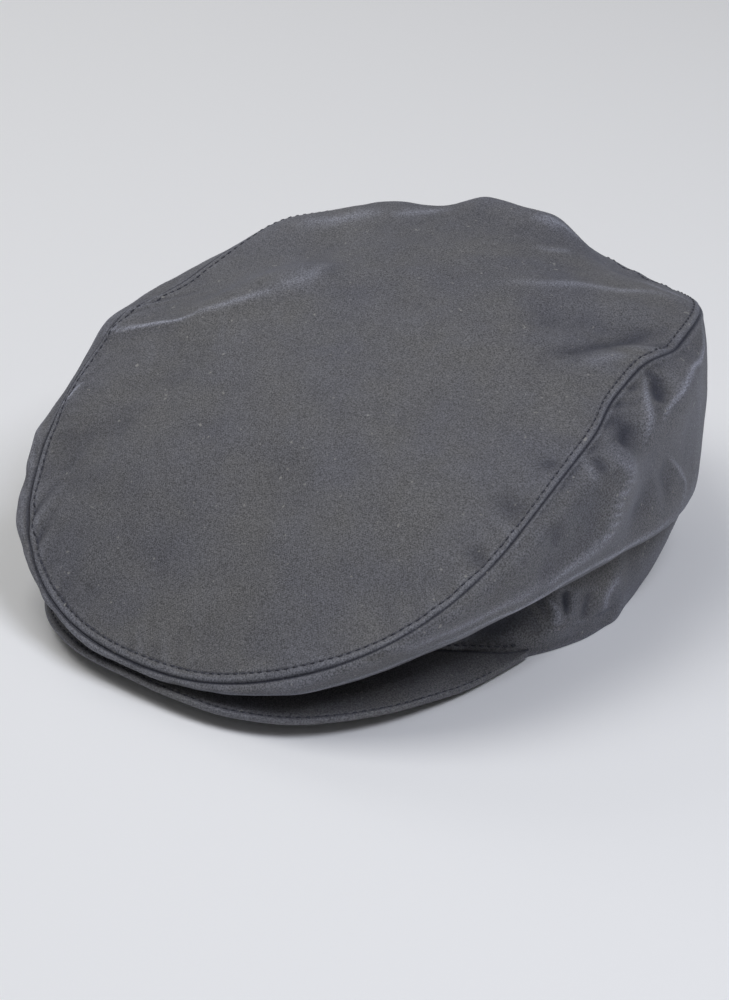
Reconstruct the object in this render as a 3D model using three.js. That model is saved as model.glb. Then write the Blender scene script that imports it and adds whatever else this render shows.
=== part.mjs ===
// A waxed cotton flat cap, lying on its rim as it would on a table.
// Millimetres, +Z up. The peak points to -Y, and the wearer's left is +X.
// One domed top panel runs from the front edge to the back. Two side panels hang from its
// edge, bulge out over the head opening, tuck in under the bulge and end in the flat rim.
// A stiff peak is sewn to the outside of the rim, in front, below the overhang.
import * as THREE from 'three';

// Walls and gaps
const CLOTH = 1.5;
const PEAK_JOIN_THICKNESS = 3;
const PEAK_EDGE_THICKNESS = 2.4;
const SEAM_GAP = 0.3;
const PEAK_GAP = 0.6;
const WAXED_COTTON = { color: 0x585a60, roughness: 0.72, metalness: 0 };

// Rings that the side panels hang through, from the top seam down to the rim.
// front, back: y of the two ends of the ring; half: half its width; wide: y of its widest place
// frontPower, backPower: 2 is an ellipse, and more is squarer
// zFront, zWide, zBack: height at the front end, at the widest place and at the back end
const RINGS = [
  { name: 'seam', front: -145.5, back: 132, half: 106.6, wide: -60, frontPower: 2.25, backPower: 1.88,
    zFront: 14, zWide: 73.4, zBack: 86.3 },
  { name: 'brow', front: -146.8, back: 135, half: 113.2, wide: -32, frontPower: 2.5, backPower: 2.2,
    zFront: 11.8, zWide: 77, zBack: 72.6 },
  { name: 'fold', front: -142, back: 112, half: 107, wide: 22, frontPower: 2.35, backPower: 2.1,
    zFront: 9.6, zWide: 38.6, zBack: 28 },
  { name: 'tuck', front: -110, back: 108, half: 97, wide: 14, frontPower: 2.2, backPower: 2.5,
    zFront: 16, zWide: 37, zBack: 28 },
  { name: 'belly', front: -101, back: 107, half: 98, wide: 14.8, frontPower: 2.1, backPower: 2.5,
    zFront: 14.5, zWide: 18, zBack: 20 },
  { name: 'rim', front: -99, back: 99, half: 96.4, wide: 8.6, frontPower: 2, backPower: 2.2,
    zFront: 0, zWide: 0, zBack: 0 },
];
const SEAM = RINGS[0];
const SEGMENTS_BETWEEN_RINGS = 4;

// The rings aren't true ovals: in these directions they are drawn out, or in where out is less
// than zero. around and spread are degrees, more than zero to the left of the front.
const DRAWN_OUT = [
  { ring: 'seam', around: 140, spread: 17, out: 14 },
  { ring: 'seam', around: -75, spread: 24, out: -3.6 },
  { ring: 'seam', around: -30, spread: 28, out: 1.7 },
  { ring: 'seam', around: 35, spread: 28, out: -2.1 },
  { ring: 'brow', around: 35, spread: 28, out: -3 },
  { ring: 'tuck', around: 112, spread: 18, out: -1 },
  { ring: 'belly', around: 76, spread: 10, out: 3.4 },
  { ring: 'belly', around: 112, spread: 18, out: -1.3 },
  { ring: 'rim', around: 84, spread: 9, out: 2.4 },
  { ring: 'rim', around: 112, spread: 18, out: -2.2 },
];

// The top panel rises from the seam to a crown of its own.
const CROWN = { x: -10, y: 31, height: 12, power: 2.5 };

// The cloth leans over: at full height the left side of the cap lies lower than the right.
const LEAN = { drop: 5, halfWidth: 110, fullHeight: 70 };

// The peak's outer edge, and the height of its upper face along the rim and along that edge.
// rise is the power with which both climb from the corner: more is steeper.
const PEAK = { front: -146.6, half: 92, wide: -33.4, power: 2.85, spread: 0.76,
  joinFront: 13, joinCorner: 4.2, edgeFront: 8.3, edgeCorner: 4.2, rise: 16 };

// Folds and dents. Cloth within reach of the line from one end to the other is pushed by push.
const FOLDS = [
  { name: 'right back corner', from: [-28, 93, 104], to: [-2, 99, 104], reach: 17, push: [0, 0, 11.5] },
  { name: 'right back rise', from: [-76, 34, 106], to: [-58, 66, 106], reach: 17, push: [0, 0, 5.4] },
  { name: 'left back corner', from: [66, 94, 92], to: [70, 90, 92], reach: 20, push: [0, 0, 2.4] },
  { name: 'back sag', from: [24, 108, 98], to: [36, 106, 98], reach: 15, push: [0, 0, -2] },
  { name: 'left seam puff', from: [94, 12, 96], to: [90, 34, 98], reach: 15, push: [-1.9, 0, 1] },
  { name: 'left back hollow', from: [52, 34, 106], to: [82, 58, 97], reach: 11, push: [0, 0, -3] },
  { name: 'right crease', from: [-104, -44, 84], to: [-48, -4, 107], reach: 11, push: [0, 0, 3.5] },
  { name: 'right dent', from: [-88, -14, 95], to: [-62, 22, 104], reach: 18, push: [3, 0, -3.9] },
  { name: 'right shoulder', from: [-90, 20, 100], to: [-84, 34, 102], reach: 14, push: [0, 0, 1.3] },
  { name: 'right front valley', from: [-60, -56, 87], to: [-72, -104, 52], reach: 15, push: [0, 0, -2] },
  { name: 'front valley', from: [5, -81, 70], to: [22, -128, 29], reach: 14, push: [0, 0, -1.6] },
  { name: 'left crease', from: [102, 52, 88], to: [108, 22, 82], reach: 11, push: [2.6, 0, 1.6] },
  { name: 'left crease dent', from: [101, 34, 93], to: [106, 12, 86], reach: 12, push: [-2.7, 0, -1] },
  { name: 'left bulge low', from: [106, -58, 43], to: [110, -30, 45], reach: 11, push: [2.5, -1, 1] },
  { name: 'left bulge high', from: [112, -16, 54], to: [112, -6, 74], reach: 12, push: [2.2, 0, 0] },
  { name: 'left flank', from: [110, 20, 66], to: [104, 44, 56], reach: 16, push: [-4, 0, 0] },
  { name: 'left pocket', from: [92, -44, 26], to: [90, -30, 22], reach: 12, push: [-5, 3, 0] },
  { name: 'left pleat front', from: [93, -20, 9], to: [93, -20, 28], reach: 7, push: [1.7, -1, 0] },
  { name: 'left pleat back', from: [96, 14, 4], to: [96, 14, 26], reach: 7, push: [2, 0, 0] },
];

const AROUND = 72;
const ACROSS_TOP = 14;
const ACROSS_PEAK = 5;

// A normal is taken over two short steps, and not nearer to the crown than this.
const NORMAL_STEP = 1e-3;
const NEAREST_CROWN = 0.02;
// At a sharp corner the mitre stays short: this is the least share of it across the wall.
const MITRE_LIMIT = 0.7;
const HALVINGS = 30;

// Height of a ring at y: the parabola through its front end, its widest place and its back end
function ringHeight(ring, y) {
  const { front, wide, back } = ring;
  const atFront = (y - wide) * (y - back) / ((front - wide) * (front - back));
  const atWide = (y - front) * (y - back) / ((wide - front) * (wide - back));
  const atBack = (y - front) * (y - wide) / ((back - front) * (back - wide));
  return ring.zFront * atFront + ring.zWide * atWide + ring.zBack * atBack;
}

// Plan of an oval at angle phi: 0 is the front, a quarter turn the left, half a turn the back
function ovalPoint(oval, phi) {
  const sine = Math.sin(phi);
  const cosine = Math.cos(phi);
  const power = 2 / (cosine > 0 ? oval.frontPower : oval.backPower);
  const end = cosine > 0 ? oval.front : oval.back;
  return new THREE.Vector2(
    oval.half * Math.sign(sine) * Math.abs(sine) ** power,
    oval.wide + (end - oval.wide) * Math.abs(cosine) ** power,
  );
}

// Plan of a ring at angle phi: its oval, drawn out where it is
function ringPlan(ring, phi) {
  const plan = ovalPoint(ring, phi);
  for (const row of DRAWN_OUT.filter((candidate) => candidate.ring === ring.name)) {
    const around = THREE.MathUtils.degToRad(row.around);
    const turn = THREE.MathUtils.euclideanModulo(phi - around + Math.PI, 2 * Math.PI) - Math.PI;
    const out = row.out * Math.exp(-((THREE.MathUtils.radToDeg(turn) / row.spread) ** 2));
    plan.add(new THREE.Vector2(Math.sin(around), -Math.cos(around)).multiplyScalar(out));
  }
  return plan;
}

function ringPoint(ring, phi) {
  const plan = ringPlan(ring, phi);
  return new THREE.Vector3(plan.x, plan.y, ringHeight(ring, plan.y));
}

// Leans a point of the cloth over, and pushes it by each fold that it lies near.
function settle(point) {
  const height = THREE.MathUtils.clamp(point.z / LEAN.fullHeight, 0, 1);
  point.z -= LEAN.drop * height * point.x / LEAN.halfWidth;
  const start = point.clone();
  const nearest = new THREE.Vector3();
  for (const fold of FOLDS) {
    const line = new THREE.Line3(new THREE.Vector3(...fold.from), new THREE.Vector3(...fold.to));
    line.closestPointToPoint(start, true, nearest);
    const weight = Math.exp(-((start.distanceTo(nearest) / fold.reach) ** 2));
    point.addScaledVector(new THREE.Vector3(...fold.push), weight);
  }
  return point;
}

// Outer face of the side panels: v runs from 0 at the seam to 1 at the rim.
function sidePoint(phi, v) {
  const hang = new THREE.CatmullRomCurve3(RINGS.map((ring) => ringPoint(ring, phi)));
  return settle(hang.getPoint(v));
}

// Outer face of the top panel: t runs from 0 at the crown to 1 at the seam.
function topPoint(phi, t) {
  const edge = ringPlan(SEAM, phi);
  const x = CROWN.x + (edge.x - CROWN.x) * t;
  const y = CROWN.y + (edge.y - CROWN.y) * t;
  const z = ringHeight(SEAM, y) + CROWN.height * (1 - t ** CROWN.power);
  return settle(new THREE.Vector3(x, y, z));
}

// Outward normal of a face at (u, v), from two short steps along it, kept inside its ends
function faceNormal(face, u, v) {
  const low = Math.max(v - NORMAL_STEP, 0);
  const high = Math.min(v + NORMAL_STEP, 1);
  const along = face(u + NORMAL_STEP, v).sub(face(u - NORMAL_STEP, v));
  const down = face(u, high).sub(face(u, low));
  return down.cross(along).normalize();
}

// Where the top and side panels meet, both walls end on one mitre, halfway between their faces.
function mitre(phi) {
  const top = faceNormal(topPoint, phi, 1);
  const side = faceNormal(sidePoint, phi, 0);
  const middle = top.clone().add(side).normalize();
  return middle.divideScalar(Math.max(middle.dot(top), MITRE_LIMIT));
}

// A closed wall between two grids of points, outer[row][column] and inner[row][column].
// A wall that goes all the way round has no side edges. Its first row may be a single point.
function wall(outer, inner, closedRound) {
  const points = [];
  const faces = [];
  const number = (grid) => grid.map((row) => row.map((point) => points.push(point) - 1));
  const skins = [number(outer), number(inner)];
  const columns = outer[outer.length - 1].length;
  const quad = (a, b, c, d) => {
    if (a !== b) faces.push(a, b, c);
    if (c !== d) faces.push(a, c, d);
  };
  const at = (skin, row, column) => {
    const line = skins[skin][row];
    return line.length === 1 ? line[0] : line[column % columns];
  };
  const last = outer.length - 1;
  const spans = closedRound ? columns : columns - 1;
  for (let column = 0; column < spans; column += 1) {
    for (let row = 0; row < last; row += 1) {
      quad(at(0, row, column), at(0, row + 1, column),
        at(0, row + 1, column + 1), at(0, row, column + 1));
      quad(at(1, row, column + 1), at(1, row + 1, column + 1),
        at(1, row + 1, column), at(1, row, column));
    }
    quad(at(0, last, column), at(1, last, column), at(1, last, column + 1), at(0, last, column + 1));
    if (outer[0].length > 1) {
      quad(at(0, 0, column + 1), at(1, 0, column + 1), at(1, 0, column), at(0, 0, column));
    }
  }
  if (!closedRound) {
    for (let row = 0; row < last; row += 1) {
      quad(at(0, row, 0), at(1, row, 0), at(1, row + 1, 0), at(0, row + 1, 0));
      quad(at(0, row + 1, spans), at(1, row + 1, spans), at(1, row, spans), at(0, row, spans));
    }
  }
  const geometry = new THREE.BufferGeometry();
  geometry.setFromPoints(points);
  geometry.setIndex(faces);
  geometry.computeVertexNormals();
  return geometry;
}

// Draws an edge row back along the cloth, towards the row beside it, by half the seam gap.
function trim(outer, inner, row, beside) {
  outer[row].forEach((point, column) => {
    const back = outer[beside][column].clone().sub(point).setLength(SEAM_GAP / 2);
    point.add(back);
    inner[row][column].add(back);
  });
}

function topPanel() {
  const outer = [];
  const inner = [];
  for (let row = 0; row <= ACROSS_TOP; row += 1) {
    const t = row / ACROSS_TOP;
    const columns = row === 0 ? 1 : AROUND;
    outer.push([]);
    inner.push([]);
    for (let column = 0; column < columns; column += 1) {
      const phi = 2 * Math.PI * column / AROUND;
      const point = topPoint(phi, t);
      const along = Math.max(t, NEAREST_CROWN);
      const inward = row === ACROSS_TOP ? mitre(phi) : faceNormal(topPoint, phi, along);
      outer[row].push(point);
      inner[row].push(point.clone().addScaledVector(inward, -CLOTH));
    }
  }
  trim(outer, inner, ACROSS_TOP, ACROSS_TOP - 1);
  return wall(outer, inner, true);
}

// side is 1 for the wearer's left and -1 for the right.
function sidePanel(side) {
  const rows = SEGMENTS_BETWEEN_RINGS * (RINGS.length - 1);
  const outer = [];
  const inner = [];
  for (let row = 0; row <= rows; row += 1) {
    const v = row / rows;
    outer.push([]);
    inner.push([]);
    for (let column = 0; column <= AROUND / 2; column += 1) {
      const turn = 2 * Math.PI * column / AROUND;
      const phi = side > 0 ? turn : turn - Math.PI;
      const point = sidePoint(phi, v);
      const inward = row === 0 ? mitre(phi) : faceNormal(sidePoint, phi, v);
      if (row === rows) inward.setZ(0).normalize();
      outer[row].push(point);
      inner[row].push(point.clone().addScaledVector(inward, -CLOTH));
    }
  }
  trim(outer, inner, 0, 1);
  return wall(outer, inner, false);
}

// The place just outside the side wall at height z, below the belly, in direction phi
function besideWall(phi, z) {
  let low = 1 - 1 / (RINGS.length - 1);
  let high = 1;
  for (let halving = 0; halving < HALVINGS; halving += 1) {
    const middle = (low + high) / 2;
    if (sidePoint(phi, middle).z > z) low = middle;
    else high = middle;
  }
  const outward = faceNormal(sidePoint, phi, low).setZ(0).normalize();
  return sidePoint(phi, low).addScaledVector(outward, PEAK_GAP).setZ(z);
}

function peak() {
  const outline = { ...PEAK, frontPower: PEAK.power };
  const columns = AROUND / 2;
  const upper = [];
  const lower = [];
  for (let row = 0; row <= ACROSS_PEAK; row += 1) {
    upper.push([]);
    lower.push([]);
  }
  for (let column = 0; column <= columns; column += 1) {
    const phi = Math.PI * (column / columns - 0.5);
    const towardFront = 1 - Math.abs(Math.sin(phi)) ** PEAK.rise;
    const joinHeight = THREE.MathUtils.lerp(PEAK.joinCorner, PEAK.joinFront, towardFront);
    const edgeHeight = THREE.MathUtils.lerp(PEAK.edgeCorner, PEAK.edgeFront, towardFront);
    const joinUpper = besideWall(phi * PEAK.spread, joinHeight);
    const joinLower = besideWall(phi * PEAK.spread, joinHeight - PEAK_JOIN_THICKNESS);
    const plan = ovalPoint(outline, phi);
    const edgeUpper = new THREE.Vector3(plan.x, plan.y, edgeHeight);
    const edgeLower = edgeUpper.clone().setZ(edgeHeight - PEAK_EDGE_THICKNESS);
    for (let row = 0; row <= ACROSS_PEAK; row += 1) {
      upper[row].push(joinUpper.clone().lerp(edgeUpper, row / ACROSS_PEAK));
      lower[row].push(joinLower.clone().lerp(edgeLower, row / ACROSS_PEAK));
    }
  }
  return wall(upper, lower, false);
}

function piece(name, geometry) {
  const mesh = new THREE.Mesh(geometry, new THREE.MeshStandardMaterial(WAXED_COTTON));
  mesh.name = name;
  return mesh;
}

const sideLeft = piece('side_panel_left', sidePanel(1));
const sideRight = piece('side_panel_right', sidePanel(-1));
sideLeft.position.x = SEAM_GAP / 2;
sideRight.position.x = -SEAM_GAP / 2;

const cap = new THREE.Group();
cap.name = 'flat_cap';
cap.add(piece('top_panel', topPanel()), sideLeft, sideRight, piece('peak', peak()));

// The origin is under the middle of the cap, on the surface that it lies on.
const middle = new THREE.Box3().setFromObject(cap).getCenter(new THREE.Vector3());
cap.position.set(-middle.x, -middle.y, 0);

export default cap;
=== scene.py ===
import bpy
import numpy as np
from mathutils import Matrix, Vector


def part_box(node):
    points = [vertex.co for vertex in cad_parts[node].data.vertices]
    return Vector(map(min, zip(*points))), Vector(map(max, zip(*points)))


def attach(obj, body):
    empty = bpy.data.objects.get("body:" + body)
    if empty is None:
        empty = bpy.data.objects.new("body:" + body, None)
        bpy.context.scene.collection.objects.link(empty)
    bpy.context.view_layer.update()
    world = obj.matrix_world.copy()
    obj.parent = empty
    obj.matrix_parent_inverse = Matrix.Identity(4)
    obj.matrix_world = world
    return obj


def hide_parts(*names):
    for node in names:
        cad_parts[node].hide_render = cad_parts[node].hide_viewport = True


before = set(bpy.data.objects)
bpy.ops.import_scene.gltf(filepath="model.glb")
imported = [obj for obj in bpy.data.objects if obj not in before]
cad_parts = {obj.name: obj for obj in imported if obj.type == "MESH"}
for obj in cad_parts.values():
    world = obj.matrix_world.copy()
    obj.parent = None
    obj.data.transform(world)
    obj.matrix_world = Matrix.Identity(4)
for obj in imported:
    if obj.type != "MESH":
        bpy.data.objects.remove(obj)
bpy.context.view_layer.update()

MM = 0.001


def table(columns, rows):
    """The rows of a table as dicts, by the names of its columns"""
    return [dict(zip(columns.split(), row)) for row in rows]


# The cap's own dimensions
CLOTH = 1.5
PEAK_JOIN_THICKNESS = 3
PEAK_EDGE_THICKNESS = 2.4
PEAK_GAP = 0.35
SEAM_GAP = 0.06

# Rings that the side panels hang through, from the top seam down to the rim
RINGS = table("name front back half wide front_power back_power z_front z_wide z_back", [
    ("seam", -145.5, 132, 106.6, -60, 2.25, 1.88, 14, 73.4, 86.3),
    ("brow", -146.8, 135, 113.2, -32, 2.5, 2.2, 11.8, 77, 72.6),
    ("fold", -142, 112, 107, 22, 2.35, 2.1, 9.6, 38.6, 28),
    ("tuck", -110, 108, 97, 14, 2.2, 2.5, 16, 37, 28),
    ("belly", -101, 107, 98, 14.8, 2.1, 2.5, 14.5, 18, 20),
    ("rim", -99, 99, 96.4, 8.6, 2, 2.2, 0, 0, 0),
])
SEAM = RINGS[0]
# The rings aren't true ovals: in these directions they are drawn out, or in where out is less
# than zero. around and spread are degrees, more than zero to the left of the front.
DRAWN_OUT = table("ring around spread out", [
    ("seam", 140, 17, 14),
    ("seam", -75, 24, -3.6),
    ("seam", -30, 28, 1.7),
    ("seam", 35, 28, -2.1),
    ("brow", 35, 28, -3),
    ("tuck", 112, 18, -1),
    ("belly", 76, 10, 3.4),
    ("belly", 112, 18, -1.3),
    ("rim", 84, 9, 2.4),
    ("rim", 112, 18, -2.2),
])
CROWN = dict(x=-10, y=31, height=12, power=2.5)
LEAN = dict(drop=5, half_width=110, full_height=70)
# The peak's heights climb from its corners to the front: rise is the power, and more is steeper.
PEAK = dict(front=-146.6, half=92, wide=-33.4, front_power=2.85, back_power=2.85, spread=0.76,
            join_front=13, join_corner=4.2, edge_front=8.3, edge_corner=4.2, rise=16)

# The main folds, as the solids have them: cloth near the line is pushed along.
FOLDS = table("name line reach push", [
    ("right back corner", [(-28, 93, 104), (-2, 99, 104)], 17, (0, 0, 11.5)),
    ("right back rise", [(-76, 34, 106), (-58, 66, 106)], 17, (0, 0, 5.4)),
    ("left back corner", [(66, 94, 92), (70, 90, 92)], 20, (0, 0, 2.4)),
    ("back sag", [(24, 108, 98), (36, 106, 98)], 15, (0, 0, -2)),
    ("left seam puff", [(94, 12, 96), (90, 34, 98)], 15, (-1.9, 0, 1)),
    ("left back hollow", [(52, 34, 106), (82, 58, 97)], 11, (0, 0, -3)),
    ("right crease", [(-104, -44, 84), (-48, -4, 107)], 11, (0, 0, 3.5)),
    ("right dent", [(-88, -14, 95), (-62, 22, 104)], 18, (3, 0, -3.9)),
    ("right shoulder", [(-90, 20, 100), (-84, 34, 102)], 14, (0, 0, 1.3)),
    ("right front valley", [(-60, -56, 87), (-72, -104, 52)], 15, (0, 0, -2)),
    ("front valley", [(5, -81, 70), (22, -128, 29)], 14, (0, 0, -1.6)),
    ("left crease", [(102, 52, 88), (108, 22, 82)], 11, (2.6, 0, 1.6)),
    ("left crease dent", [(101, 34, 93), (106, 12, 86)], 12, (-2.7, 0, -1)),
    ("left bulge low", [(106, -58, 43), (110, -30, 45)], 11, (2.5, -1, 1)),
    ("left bulge high", [(112, -16, 54), (112, -6, 74)], 12, (2.2, 0, 0)),
    ("left flank", [(110, 20, 66), (104, 44, 56)], 16, (-4, 0, 0)),
    ("left pocket", [(92, -44, 26), (90, -30, 22)], 12, (-5, 3, 0)),
    ("left pleat front", [(93, -20, 9), (93, -20, 28)], 7, (1.7, -1, 0)),
    ("left pleat back", [(96, 14, 4), (96, 14, 26)], 7, (2, 0, 0)),
])

# Finer creases and dents in the cloth. lift is out of the cloth, and sharp is the power of the
# crease's section: 2 is a soft wave, and nearer 1 a pinched crease. The wax value is painted light
# along it: over zero, the whitening of the wax on the crease together with a painted highlight, and
# where lift is 0 a painted highlight alone; under zero, painted shade in the dent, valley or pocket.
CREASES = table("name width lift sharp wax path", [
    ("crown crease", 2.5, 1.5, 1.1, 0.9,
     [(-108, -53, 81), (-104, -51, 84), (-98, -50, 86), (-91, -47, 89), (-83, -43, 91), (-76, -40, 93),
      (-70, -34, 97)]),
    ("crown crease end", 6.5, 1.2, 1.5, 0.45,
     [(-73, -37, 95), (-70, -34, 97), (-63, -29, 99), (-55, -22, 103), (-47, -14, 106)]),
    ("crown crease fade", 12, 0.9, 1.8, 0.25,
     [(-52, -19, 104), (-46, -12, 107), (-41, -5, 110), (-44, 12, 110)]),
    ("behind crown crease", 9, -2.2, 1.8, -0.2,
     [(-99, -45, 90), (-89, -35, 95), (-77, -23, 100), (-62, -11, 106)]),
    ("under crown crease", 11, -1.1, 1.8, 0,
     [(-75, -59, 83), (-66, -55, 85), (-60, -50, 88), (-50, -44, 92)]),
    ("far edge nick", 2.2, 1, 1.1, 1,
     [(-100, -85, 63), (-100, -83, 65), (-98, -80, 67), (-98, -76, 70), (-97, -73, 72)]),
    ("far edge dent", 9, -1.3, 1.8, -0.2,
     [(-90, -90, 61), (-83, -96, 57), (-75, -103, 51)]),
    ("crown front valley", 12, -1, 1.8, 0,
     [(2, -80, 69), (13, -87, 63), (13, -95, 57)]),
    ("far front streak", 7, -0.5, 1.8, -0.16,
     [(-84, -93, 60), (-72, -89, 67), (-62, -80, 74)]),
    ("far upper streak", 6, -0.5, 1.8, -0.14,
     [(-75, -70, 78), (-62, -66, 81), (-52, -58, 86)]),
    ("front valley", 10, -0.9, 1.8, 0,
     [(-24, -112, 44), (-18, -119, 40), (-14, -128, 32)]),
    ("back corner streak", 5, 0.6, 1.5, 0.35,
     [(-6, 91, 114), (2, 92, 113), (8, 94, 111)]),
    # The four rows named light don't lift the cloth: they are painted highlights alone.
    ("crest light", 14, 0, 1.5, 0.4,
     [(-75, 29, 113), (-70, 35, 113), (-64, 41, 114), (-59, 49, 115), (-53, 57, 115)]),
    ("crest second light", 10, 0, 1.5, 0.4,
     [(-50, 55, 115), (-45, 64, 114), (-41, 72, 113), (-36, 79, 114)]),
    ("hump light", 7, 0, 1.5, 0.6,
     [(-4, 93, 116), (3, 95, 115), (7, 99, 111), (11, 103, 106)]),
    ("back edge light", 6, 0, 1.5, 0.45,
     [(47, 94, 100), (55, 94, 100), (62, 96, 99), (69, 97, 97)]),
    ("back fan upper", 6, 0.8, 1.5, 0.25,
     [(9, 74, 111), (15, 79, 109), (18, 88, 108)]),
    ("back fan lower", 7, 0.8, 1.4, 0.4,
     [(21, 38, 111), (33, 48, 110), (42, 61, 108), (53, 72, 105), (60, 86, 102), (67, 90, 100)]),
    ("back fan valley", 8, -0.8, 1.7, 0,
     [(24, 62, 110), (31, 82, 106), (34, 92, 103)]),
    ("left corner valley", 4.5, -1.5, 1.5, -0.55,
     [(64, 10, 102), (66, 16, 103), (70, 24, 103), (72, 33, 102), (75, 46, 100), (76, 57, 98),
      (78, 64, 98)]),
    ("left corner puff", 10, 1.2, 1.8, 0.2,
     [(76, 18, 101), (80, 26, 100), (82, 36, 100)]),
    ("left long crease", 2.3, 1.6, 1.1, 0.85,
     [(79, 89, 95), (85, 83, 90), (92, 70, 88), (98, 56, 90), (104, 42, 88), (107, 29, 86),
      (109, 23, 82)]),
    ("left short crease", 2.8, 1.6, 1.2, 0.6,
     [(91, 35, 96), (95, 32, 93), (101, 24, 90), (106, 19, 87), (108, 15, 83), (109, 11, 79)]),
    ("left dent between", 4.5, -2.8, 1.7, -0.7,
     [(95, 42, 94), (97, 38, 92), (101, 33, 91), (103, 28, 89)]),
    ("left dent front", 5, -2.6, 1.7, -0.7,
     [(104, 12, 88), (105, 8, 86), (108, 2, 85), (110, -3, 84)]),
    ("left light puff", 4.5, 0.6, 1.6, 0.2,
     [(111, -2, 83), (113, -1, 79), (114, 0, 74), (115, -4, 70)]),
    ("left seam ray", 3.2, 0.9, 1.4, 0.35,
     [(104, -20, 85), (107, -20, 83), (110, -21, 81), (113, -21, 78)]),
    ("left second ray", 3.6, 0.9, 1.4, 0.35,
     [(110, -9, 83), (113, -8, 82), (114, -6, 78), (114, -1, 73)]),
    ("left ray dent", 4, -1.2, 1.7, -0.25,
     [(107, -14, 84), (110, -16, 82), (113, -15, 79)]),
    ("left bulge ridge", 5, 1.8, 1.4, 0.6,
     [(112, -3, 81), (114, -4, 76), (115, -6, 72), (116, -12, 67), (116, -14, 62), (116, -17, 57),
      (115, -22, 54), (114, -33, 51), (113, -43, 49), (111, -54, 46)]),
    ("left bulge hollow", 6, -1.6, 1.8, -0.2,
     [(108, 22, 60), (110, 15, 57), (111, 8, 55), (113, -1, 53)]),
    ("left flank dent", 5, -0.9, 1.8, -0.35,
     [(112, -43, 70), (113, -46, 66), (113, -50, 62)]),
    ("left overhang edge", 4, 1.1, 1.2, 1,
     [(94, -99, 34), (97, -92, 35), (100, -84, 36), (103, -76, 38), (106, -67, 40), (108, -58, 41),
      (110, -50, 42), (112, -42, 43), (113, -32, 43), (113, -18, 42), (111, -4, 41), (110, 12, 40),
      (109, 25, 40), (108, 34, 39)]),
    # A painted highlight, with a little lift.
    ("left low light", 9, 0.5, 1.6, 0.4,
     [(92, -108, 38), (98, -97, 40), (103, -82, 43), (109, -66, 46), (112, -50, 49)]),
    ("left rear ridge", 3.4, 1.2, 1.3, 0.4,
     [(106, 32, 67), (104, 43, 55), (103, 48, 47), (105, 45, 43), (106, 40, 40)]),
    ("left rear hollow", 6, -1.4, 1.8, -0.2,
     [(107, 26, 64), (107, 32, 53), (108, 28, 47)]),
    ("left pleat front ridge", 3.2, 2, 1.4, 0.4,
     [(92, -23, 24), (95, -22, 21), (96, -21, 18), (96, -22, 12)]),
    ("left pleat front valley", 2.8, -2.4, 1.6, -0.9,
     [(96, -15, 25), (97, -16, 21), (98, -17, 15)]),
    # The darkest painted shade, in the pocket low on the left side.
    ("left pocket", 8.5, -3.6, 1.9, -1,
     [(82, -60, 15), (87, -44, 16), (88, -36, 18), (91, -27, 21)]),
    ("left pleat back ridge", 6.5, 1.8, 1.5, 0.45,
     [(100, 14, 21), (99, 8, 18), (99, 5, 15), (99, 5, 8)]),
    ("left pleat back valley", 5, -1.4, 1.7, -0.3,
     [(98, -4, 21), (99, -6, 15), (99, -8, 9)]),
    ("seam dent front", 5, -0.7, 1.7, -0.35,
     [(94, -72, 66), (99, -73, 64), (104, -73, 62)]),
    ("seam dent middle", 5.5, -0.9, 1.7, -0.45,
     [(90, -50, 78), (98, -52, 75), (105, -51, 73)]),
    ("seam dent back", 4.5, -0.8, 1.7, -0.4,
     [(95, -29, 85), (101, -32, 82)]),
])

# Creases of the sides that are laid out by angle and height: around is degrees from the front,
# more than zero to the wearer's left, and down is 0 at the seam and 1 at the rim.
# Their wax value is as for the creases: over zero the whitening of the wax with a painted highlight, and
# under zero painted shade.
SIDE_FOLDS = table("around down width lift sharp wax", [
    ([8, 74], [0.27, 0.335], 5, 0.5, 1.5, 0.5),
    ([-2, -40], [0.27, 0.3], 4, 0.4, 1.5, 0.4),
    ([-38, -52], [0.16, 0.3], 9, 1.5, 1.6, 0.15),
    ([-58, -72], [0.05, 0.24], 6, 1.3, 1.3, 0.3),
    ([-68, -80], [0.06, 0.26], 7, -1.6, 1.8, 0),
    ([-84, -98], [0.03, 0.3], 8, 1.6, 1.4, 0.25),
    ([-100, -112], [0.08, 0.34], 10, -1.8, 1.9, 0),
    ([-118, -132], [0.02, 0.28], 7, 1.5, 1.3, 0.3),
    ([-136, -150], [0.1, 0.36], 11, 1.3, 1.7, 0.1),
    ([-156, -163], [0.04, 0.26], 8, -1.4, 1.8, 0),
    ([-166, -174], [0.1, 0.34], 7, 1.2, 1.4, 0.2),
    ([172, 164], [0.12, 0.34], 8, 1.1, 1.4, 0.2),
    ([158, 150], [0.13, 0.32], 9, -1.2, 1.8, -0.2),
    ([146, 138], [0.14, 0.36], 8, 1.1, 1.4, 0.25),
    ([-70, -74], [0.68, 0.98], 5, 1.3, 1.5, 0.15),
    ([-96, -92], [0.64, 0.98], 6, -1.4, 1.8, 0),
    ([-112, -108], [0.66, 0.98], 6, 1.4, 1.5, 0.15),
    ([-140, -136], [0.62, 0.96], 7, 1.2, 1.6, 0.1),
    ([130, 126], [0.66, 0.98], 6, 1.2, 1.6, 0.1),
    ([152, 156], [0.64, 0.96], 7, -1.2, 1.8, 0),
])

# Where a path lies over or under the cloth, this share of that height counts as distance.
HEIGHT_COUNTS = 0.35
# A crease fades to its ends. The whitening of the wax and the painted highlight lie on a narrow band
# along it, and the painted shade over a wide one.
CREASE_TAPER = 0.6
WHITENED_AND_HIGHLIGHT = dict(share=0.25, least=0.6, power=1.5)
PAINTED_SHADE_SHARE = 0.85

# Broad unevenness of the cloth, and the first seed of each cloth
UNEVENNESS = table("wavelength height", [(62, 0.45), (24, 0.16), (9, 0.035)])
SEEDS = dict(top=11, side=31, peak=51)
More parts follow.
